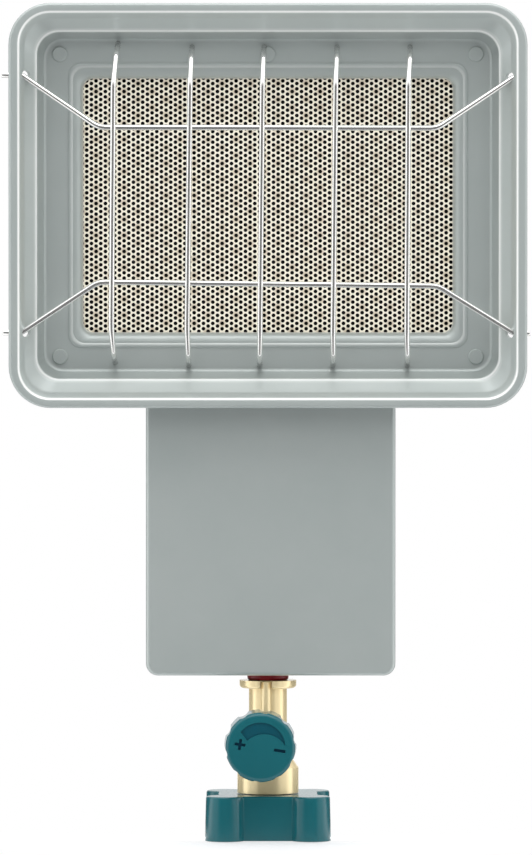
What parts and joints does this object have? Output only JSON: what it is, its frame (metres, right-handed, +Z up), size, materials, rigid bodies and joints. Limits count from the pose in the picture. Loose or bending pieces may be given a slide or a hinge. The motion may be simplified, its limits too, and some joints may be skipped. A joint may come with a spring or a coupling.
{
  "type": "portable propane heater",
  "caption": "Upright portable gas radiant heater: perforated ceramic burner in a stepped metal reflector with a wire guard, on a neck with brass valve, knob and cylinder handwheel.",
  "frame": {"origin": "centre of the handwheel's bottom face, on the axis of the cylinder thread", "axes": "+X to the right as seen from the front, +Y to the back, +Z up along the thread axis"},
  "size_m": [0.1892, 0.062, 0.3006],
  "materials": {
    "silver_paint": "smooth silver-grey enamel",
    "perforated_ceramic": "matt cream perforated ceramic",
    "fibre_gasket": "white ceramic fibre felt",
    "zinc_steel": "zinc-plated sheet steel",
    "bright_wire": "bright plated wire",
    "brass": "turned brass, satin",
    "red_seal": "dark red sealing washer",
    "black_rubber": "black nitrile rubber",
    "teal_plastic": "moulded teal plastic"
  },
  "bodies": {
    "heater": {"reflector_pan": "silver_paint", "pan_rivets": "silver_paint", "burner_housing": "zinc_steel", "ceramic_plaque": "perforated_ceramic", "plaque_gasket": "fibre_gasket", "plaque_frame": "zinc_steel", "gas_deflector": "zinc_steel", "mixing_tube": "zinc_steel", "tube_collar": "zinc_steel", "neck_cover": "silver_paint", "neck_bracket": "zinc_steel", "cover_screws": "zinc_steel", "bracket_rivets": "zinc_steel", "guard_upper_wire": "bright_wire", "guard_lower_wire": "bright_wire", "guard_bar_1": "bright_wire", "guard_bar_2": "bright_wire", "guard_bar_3": "bright_wire", "guard_bar_4": "bright_wire", "guard_bar_5": "bright_wire", "neck_seal": "red_seal", "lock_nut": "brass", "injector": "brass", "valve_body": "brass", "gland_nut": "brass", "cylinder_seal": "black_rubber", "inlet_filter": "brass"},
    "spindle_seal": {"spindle_oring": "black_rubber"},
    "knob": {"spindle": "brass", "control_knob": "teal_plastic"},
    "wheel": {"handwheel": "teal_plastic", "union_nut": "brass"}
  },
  "joints": [
    {"name": "spindle_feed", "type": "slide", "parent": "heater", "child": "spindle_seal", "axis": [0, -1, 0], "range_m": [0, 0.00075]},
    {"name": "knob_turn", "type": "hinge", "parent": "spindle_seal", "child": "knob", "pos_m": [-0.0027, 0, 0.0343], "axis": [0, -1, 0], "range_deg": [0, 270]},
    {"name": "handwheel_spin", "type": "hinge", "parent": "heater", "child": "wheel", "pos_m": [0, 0, 0], "axis": [0, 0, 1], "continuous": true}
  ],
  "couplings": [
    {"joint": "spindle_feed", "follows": "knob_turn", "m_per_rad": 0.00015915}
  ]
}
